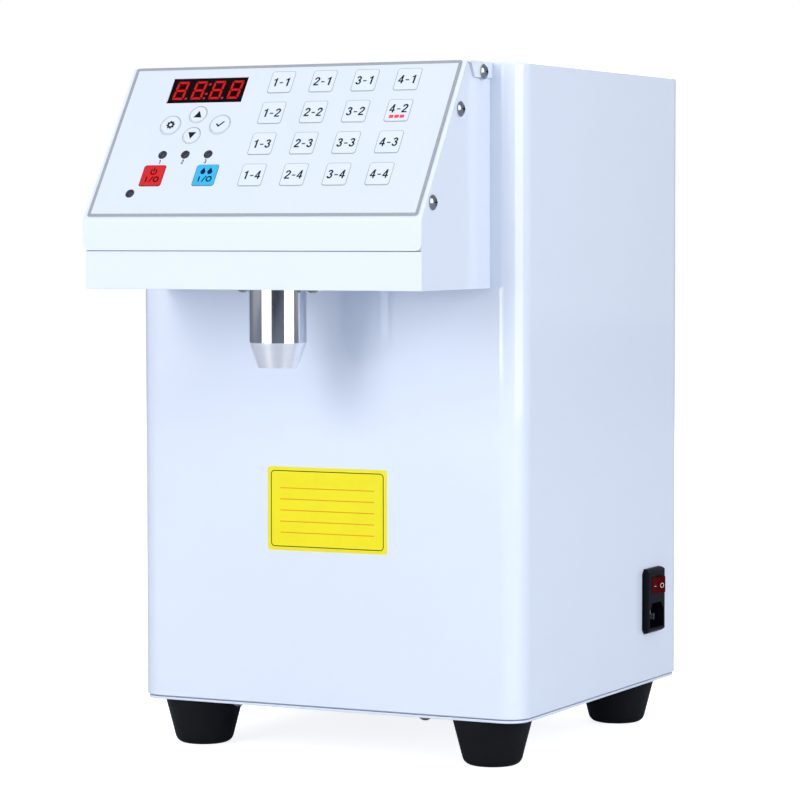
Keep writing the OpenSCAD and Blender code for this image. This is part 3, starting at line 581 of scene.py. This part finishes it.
def stroke(pts, w):
    """the outline of a pen line of width w through pts"""
    left, right = [], []
    for i, (x, y) in enumerate(pts):
        a = pts[max(i - 1, 0)]
        b = pts[min(i + 1, len(pts) - 1)]
        d = math.hypot(b[0] - a[0], b[1] - a[1])
        nx, ny = -(b[1] - a[1]) / d * w / 2, (b[0] - a[0]) / d * w / 2
        left.append((x + nx, y + ny))
        right.append((x - nx, y - ny))
    return right + left[::-1]


def arc(cx, cy, rx, ry, a0, a1, n=14):
    return [(cx + rx * math.cos(math.radians(a0 + (a1 - a0) * i / n)), cy + ry * math.sin(math.radians(a0 + (a1 - a0) * i / n)))
            for i in range(n + 1)]


PEN = 0.17
NUMERALS = {
    "1": [[(-0.02, -0.5), (0.165, -0.5), (0.165, 0.5), (0.04, 0.5), (-0.03, 0.395), (-0.2, 0.335), (-0.2, 0.19), (-0.02, 0.245)]],
    "2": [stroke(arc(0.0, 0.225, 0.205, 0.2, 188, -30) + [(0.09, -0.02), (-0.12, -0.24), (-0.205, -0.40)], PEN),
          [(-0.295, -0.5), (0.28, -0.5), (0.28, -0.345), (-0.295, -0.345)]],
    "3": [stroke(arc(-0.01, 0.235, 0.185, 0.19, 172, -100), PEN), stroke(arc(-0.01, -0.205, 0.215, 0.22, 100, -174), PEN)],
    "4": [[(0.02, -0.5), (0.185, -0.5), (0.185, 0.5), (0.02, 0.5)], [(-0.31, -0.285), (0.3, -0.285), (0.3, -0.14), (-0.31, -0.14)],
          stroke([(-0.24, -0.2), (0.09, 0.45)], 0.14)],
}


def numeral(p, ch, cx, cy, h, lean, z0, z1):
    for i, pts in enumerate(NUMERALS[ch]):
        p.solid([(cx + (x + lean * y) * h, cy + y * h) for x, y in pts], z0, z1 + 0.004 * i)


for c in range(1, 5):
    for r in range(1, 5):
        cx, cy = key_c(c, r)
        body = body_of("key_%d_%d" % (c, r))
        Print().ring(rr_pts(cx, cy - 0.15, 16.3, 16.3, 1.95), rr_pts(cx, cy - 0.15, 15.65, 15.5, 1.65), T0, T1).make(
            "outline_%d_%d" % (c, r), ink_line, PANEL, "root")
        low = 1.3 if (c, r) == (4, 2) else -0.15
        num = Print()
        numeral(num, str(c), cx - 4.15, cy + low, 6.1, 0.05, K0, K1)
        numeral(num, str(r), cx + 4.15, cy + low, 6.1, 0.05, K0, K1)
        num.solid(para(cx, cy + low - 0.45, 2.3, 0.8), K0, K1)
        num.make("number_%d_%d" % (c, r), ink_dark, PANEL, body)
        if (c, r) == (4, 2):
            bar = Print()
            for i in range(3):
                bar.solid(rr_pts(cx - 3.6 + 3.6 * i, cy - 4.5, 3.0, 2.3, 0.4, 3), K0, K1)
            bar.make("bar_4_2", ink_red, PANEL, body)

for k, p, rad in (("key_up", UP_C, 6.3), ("key_down", DOWN_C, 6.3), ("key_set", SET_C, 7.25), ("key_save", SAVE_C, 7.25)):
    Print().ring(circle_pts(p[0], p[1] - 0.35, rad, 56), circle_pts(p[0], p[1] - 0.35, rad - 0.33, 56), T0, T1).make(
        "outline_" + k, ink_line, PANEL, "root")
Print().solid([(UP_C[0] - 2.8, UP_C[1] - 2.5), (UP_C[0] + 2.8, UP_C[1] - 2.5), (UP_C[0] + 0.25, UP_C[1] + 2.5)], K0, K1).make(
    "arrow_up", ink_dark, PANEL, body_of("key_up"))
Print().solid([(DOWN_C[0] - 0.25, DOWN_C[1] - 2.9), (DOWN_C[0] + 2.8, DOWN_C[1] + 2.1), (DOWN_C[0] - 2.8, DOWN_C[1] + 2.1)], K0, K1).make(
    "arrow_down", ink_dark, PANEL, body_of("key_down"))


def cog(cx, cy, ro, ri, teeth, hole):
    outer, n = [], teeth * 8
    for i in range(n):
        a = 2 * math.pi * i / n
        outer.append((cx + (ro if (i % 8) < 4 else ri) * math.cos(a), cy + (ro if (i % 8) < 4 else ri) * math.sin(a)))
    return outer, circle_pts(cx, cy, hole, n)


Print().ring(*cog(SET_C[0], SET_C[1], 3.0, 2.3, 8, 1.1), K0, K1).make("icon_set", ink_dark, PANEL, body_of("key_set"))
tick = [(-2.9, 0.1), (-2.2, 0.85), (-0.8, -0.55), (2.2, 2.4), (2.9, 1.7), (-0.8, -2.0)]
Print().solid([(SAVE_C[0] + x, SAVE_C[1] + y - 0.2) for x, y in tick], K0, K1).make("icon_save", ink_dark, PANEL, body_of("key_save"))


nums = Print()
for i, p in enumerate(LED_C[:3]):
    numeral(nums, str(i + 1), p[0] - 0.4, p[1] - 5.3, 2.9, 0.0, T0, T1)
nums.make("led_numbers", ink_dark, PANEL, "root")


def on_off(cx, cy, ink, name, body, icon):
    """two rows on a key: its icon, and a bar, a stroke and a ring for on / off"""
    p = Print()
    y = cy - 2.9
    p.solid(para(cx - 3.7, y, 0.95, 3.9), K0, K1)
    p.solid(stroke([(cx - 1.35, y - 2.1), (cx + 0.75, y + 2.1)], 0.8), K0, K1)
    p.ring(circle_pts(cx + 3.2, y, 2.1, 32), circle_pts(cx + 3.2, y, 1.15, 32), K0, K1)
    icon(p, cx, cy + 2.9)
    p.make(name, ink, PANEL, body)


def arc_band(cx, cy, r0, r1, a0, a1, n=20):
    a = [math.radians(a0 + (a1 - a0) * i / n) for i in range(n + 1)]
    return [(cx + r1 * math.cos(t), cy + r1 * math.sin(t)) for t in a] + [
        (cx + r0 * math.cos(t), cy + r0 * math.sin(t)) for t in reversed(a)]


def power_icon(p, cx, cy):
    p.solid(arc_band(cx, cy - 0.2, 1.5, 2.4, 128, 412), K0, K1)
    p.solid(para(cx, cy + 1.3, 0.9, 2.9), K0, K1)


def drop_icon(p, cx, cy):
    for x in (cx - 2.4, cx + 2.4):
        pts = [(x, cy + 2.5)]
        for i in range(17):
            a = math.radians(28 - 236 * i / 16)
            pts.append((x + 1.7 * math.cos(a), cy - 0.7 + 1.7 * math.sin(a)))
        p.solid(pts, K0, K1)


for k, p, ink in (("power", POWER_C, edge_red), ("flow", FLOW_C, edge_blue)):
    Print().ring(rr_pts(p[0], p[1] - 0.3, 15.5, 15.5, 1.6), rr_pts(p[0], p[1] - 0.1, 14.6, 14.7, 1.2), T0, T1).make(
        "edge_" + k, ink, PANEL, "root")
on_off(*POWER_C, ink_maroon, "print_power", body_of("key_power"), power_icon)
on_off(*FLOW_C, ink_navy, "print_flow", body_of("key_flow"), drop_icon)

# ---------------------------------------------------------------- lit digits
W0, W1 = 0.19, 0.23


LEAN, DW, DH, DT, GAP = 0.09, 8.1, 13.6, 1.65, 0.27


def lean_at(cx, cy, pts):
    return [(cx + x + LEAN * y, cy + y) for x, y in pts]


def seven(p, cx, cy):
    """the seven mitred bars of one digit, all lit"""
    w, h, t, g = DW / 2, DH / 2, DT, GAP
    c = 0.45
    top = [(-w + c + g, h), (w - c - g, h), (w - g, h - c), (w - t - g, h - t), (-w + t + g, h - t), (-w + g, h - c)]
    bars = [top, [(x, -y) for x, y in reversed(top)]]
    m = t / 2
    bars.append([(-w + 0.5, 0), (-w + t - 0.2 + g, -m), (w - t + 0.2 - g, -m), (w - 0.5, 0), (w - t + 0.2 - g, m), (-w + t - 0.2 + g, m)])
    side = [(-w, h - c - 1.4 * g), (-w, 0.5 + g), (-w + 0.4, g * 1.2), (-w + t - 0.1, m + 1.2 * g), (-w + t - 0.1, h - t - 1.4 * g)]
    for sx, sy in ((1, 1), (-1, 1), (1, -1), (-1, -1)):
        pts = [(x * sx, y * sy) for x, y in side]
        bars.append(pts if sx * sy > 0 else list(reversed(pts)))
    for b in bars:
        p.solid(lean_at(cx, cy, b), W0, W1)


lit, dim, base = Print(), Print(), Print()
wy = WIN_C[1] - 0.3
for i in range(4):
    x = wx - 18.7 + 12.85 * i
    # a dark red patch slightly larger than the digit: painted glow of its lit segments
    base.solid(para(x, wy, DW + 1.2, DH + 1.2, LEAN), W0 - 0.02, W0 + 0.01)
    seven(lit, x, wy)
    if i < 3:
        dim.solid(lean_at(x + 5.75, wy, rr_pts(0, -6.0, 1.6, 1.5, 0.4, 3)), W0, W1)
dim.solid(lean_at(wx + 0.3, wy, rr_pts(0, 4.4, 1.8, 1.5, 0.4, 3)), W0, W1)
dim.solid(lean_at(wx + 0.3, wy, rr_pts(0, -2.7, 1.8, 1.5, 0.4, 3)), W0, W1)
base.make("digits_painted_glow", led_painted_glow, PANEL, "root")
lit.make("digits_lit", led_red, PANEL, "root")
dim.make("digits_dots", led_dim, PANEL, "root")

# ---------------------------------------------------------------- painted shade: a dark strip on the head's face inside the gap under the cover's lip
HEAD_FACE = Matrix.Translation((0, (Y_H + 1.4) * MM, 0)) @ Matrix.Rotation(math.pi / 2, 4, "X") @ Matrix.Scale(MM, 4)
# a dark strip painted where the gap would be in shade: painted shade, not a part
Print().solid([(-113.6, Z_LIP - 0.38), (113.6, Z_LIP - 0.38), (113.6, Z_LIP + 0.3), (112.4, Z_LIP + 0.05), (111.0, Z_LIP + 0.05),
               (110.8, Z_LIP + 1.0), (-110.8, Z_LIP + 1.0), (-111.0, Z_LIP + 0.05), (-112.4, Z_LIP + 0.05), (-113.6, Z_LIP + 0.3)],
              0.02, 0.14).make("lip_gap_painted_shade", ring_ink_and_painted_shade, HEAD_FACE, "root")

# ---------------------------------------------------------------- sticker print: frame and ruled lines
S0, S1 = 0.19, 0.225
sx, sy = STICKER_C
Print().ring(rr_pts(sx, sy, 79.4, 48.0, 2.6), rr_pts(sx, sy, 78.3, 46.9, 2.05), S0, S1).make("sticker_frame", ink_frame, FRONT, "root")
rules = Print()
for i in range(5):
    rules.solid(rr_pts(sx, sy + 13.0 - 7.0 * i, 66.0, 0.5, 0.2, 3), S0, S1)
rules.make("sticker_rules", ink_rule, FRONT, "root")

# ---------------------------------------------------------------- marks on the rocker
RK = Vector((134.0, 126.1, 95.4))
TILT = math.radians(-13.1)


def on_rocker(y, z):
    """a point on the dished face of the rocker at rest, in millimetres"""
    x = 6.78 + 59.6 - math.sqrt(60.0**2 - y * y)
    q = Matrix.Rotation(TILT, 3, "Z") @ Vector((x, y, 0))
    n = Matrix.Rotation(TILT, 3, "Z") @ Vector((60.0 * math.sqrt(1 - (y / 60.0) ** 2), -y, 0)).normalized()
    return RK + q + Vector((0, 0, z)) + n * 0.03


def rocker_print(name, outer, inner=None):
    bm = bmesh.new()
    loops = [outer] + ([inner] if inner else [])
    rings = [[bm.verts.new(on_rocker(y, z) * MM) for y, z in lp] for lp in loops]
    n = len(outer)
    if inner:
        for k in range(n):
            m = (k + 1) % n
            bm.faces.new([rings[0][k], rings[0][m], rings[1][m], rings[1][k]])
    else:
        bm.faces.new(rings[0])
    me = bpy.data.meshes.new(name)
    bmesh.ops.recalc_face_normals(bm, faces=bm.faces)
    bm.to_mesh(me)
    bm.free()
    me.materials.append(ink_white.m)
    o = link(bpy.data.objects.new(name, me))
    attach(o, body_of("power_rocker"))


turn = [2 * math.pi * i / 32 for i in range(32)]
rocker_print("mark_o", [(4.0 + 1.95 * math.cos(a), -0.5 + 1.6 * math.sin(a)) for a in turn],
             [(4.0 + 1.53 * math.cos(a), -0.5 + 1.25 * math.sin(a)) for a in turn])
rocker_print("mark_i", [(-4.7, -0.7), (-2.5, -0.92), (-2.5, -0.6), (-4.7, -0.38)])

# ---------------------------------------------------------------- stage, light
fl = bpy.data.meshes.new("floor")
fl.from_pydata([(-9, -9, 0), (9, -9, 0), (9, 9, 0), (-9, 9, 0)], [], [[0, 1, 2, 3]])
floor = link(bpy.data.objects.new("floor", fl))
floor_m = Mat("floor_pale", Emission_Strength=0.0, Specular_IOR_Level=0.1)
floor_m.colour((0.50, 0.535, 0.59, 1), 3.0, 0.01).rough(0.75, 0.85, 6.0)
floor_m.set("Emission Color", (1, 1, 1, 1))
floor_lift = floor_m.t.nodes.new("ShaderNodeLightPath")
floor_gain = floor_m.t.nodes.new("ShaderNodeMapRange")
floor_gain.inputs["To Min"].default_value = 0.0
floor_gain.inputs["To Max"].default_value = 0.84
floor_m.t.links.new(floor_lift.outputs["Is Camera Ray"], floor_gain.inputs["Value"])
floor_m.t.links.new(floor_gain.outputs["Result"], floor_m.p.inputs["Emission Strength"])
fl.materials.append(floor_m.m)


def area(name, az, el, dist, w, h, power, colour=(1, 1, 1), target=(0, 0.0, 0.25)):
    """a soft box; az is measured from the front (-Y) towards +X"""
    a, e = math.radians(az), math.radians(el)
    t = Vector(target)
    pos = t + dist * Vector((math.sin(a) * math.cos(e), -math.cos(a) * math.cos(e), math.sin(e)))
    ld = bpy.data.lights.new(name, "AREA")
    ld.shape = "RECTANGLE"
    ld.size, ld.size_y = w, h
    ld.energy = power
    ld.color = colour
    o = link(bpy.data.objects.new(name, ld))
    o.location = pos
    o.rotation_euler = (t - pos).to_track_quat("-Z", "Y").to_euler()
    return o


area("key_box", -14, 16, 3.4, 0.96, 2.3, 47.8, (1.0, 0.978, 0.968))
area("key_edge", -1, 16, 3.4, 0.60, 2.3, 7.0)
area("key_wing", -29.5, 16, 3.4, 0.90, 2.3, 8.5)
area("side_box", 56.2, 16, 3.2, 0.26, 2.3, 11.0)
area("side_wing", 76.2, 16, 3.2, 2.04, 2.3, 48.5)
area("top_box", 20, 80, 3.0, 2.4, 2.4, 14.0)
area("back_fill", 200, 26, 3.4, 2.4, 1.3, 36.0)

world = bpy.data.worlds.new("studio")
scene.world = world
world.use_nodes = True
wt = world.node_tree
wt.nodes.clear()
wo = wt.nodes.new("ShaderNodeOutputWorld")
bg_seen = wt.nodes.new("ShaderNodeBackground")
bg_seen.inputs["Color"].default_value = (1, 1, 1, 1)
bg_seen.inputs["Strength"].default_value = 1.0
bg_lit = wt.nodes.new("ShaderNodeBackground")
bg_lit.inputs["Strength"].default_value = 1.21
mix = wt.nodes.new("ShaderNodeMixShader")
lp = wt.nodes.new("ShaderNodeLightPath")
tc = wt.nodes.new("ShaderNodeTexCoord")
# brightness by direction: white behind the object, a dim room at the front and right
dot = wt.nodes.new("ShaderNodeVectorMath")
dot.operation = "DOT_PRODUCT"
dot.inputs[1].default_value = (-0.588, 0.809, 0.0)
wt.links.new(tc.outputs["Generated"], dot.inputs[0])
ramp = wt.nodes.new("ShaderNodeValToRGB")
mr = wt.nodes.new("ShaderNodeMapRange")
mr.inputs["From Min"].default_value = -1.0
mr.inputs["From Max"].default_value = 1.0
wt.links.new(dot.outputs["Value"], mr.inputs["Value"])
wt.links.new(mr.outputs["Result"], ramp.inputs["Fac"])
els = ramp.color_ramp.elements
els[0].position, els[0].color = 0.05, (0.05, 0.05, 0.068, 1)
els[1].position, els[1].color = 1.0, (0.09, 0.095, 0.12, 1)
for pos, v in ((0.28, 0.26), (0.45, 0.42), (0.72, 0.38), (0.8, 0.26)):
    e = els.new(pos)
    e.color = (v * 0.97, v, v * 1.07, 1)
sep = wt.nodes.new("ShaderNodeSeparateXYZ")
wt.links.new(tc.outputs["Generated"], sep.inputs["Vector"])
up = wt.nodes.new("ShaderNodeMapRange")
up.inputs["From Min"].default_value = 0.1
up.inputs["From Max"].default_value = 1.0
wt.links.new(sep.outputs["Z"], up.inputs["Value"])
sky = wt.nodes.new("ShaderNodeMix")
sky.data_type = "RGBA"
wt.links.new(up.outputs["Result"], sky.inputs["Factor"])
wt.links.new(ramp.outputs["Color"], sky.inputs["A"])
sky.inputs["B"].default_value = (0.38, 0.41, 0.46, 1)
wt.links.new(sky.outputs["Result"], bg_lit.inputs["Color"])
wt.links.new(lp.outputs["Is Camera Ray"], mix.inputs["Fac"])
wt.links.new(bg_lit.outputs["Background"], mix.inputs[1])
wt.links.new(bg_seen.outputs["Background"], mix.inputs[2])
wt.links.new(mix.outputs["Shader"], wo.inputs["Surface"])
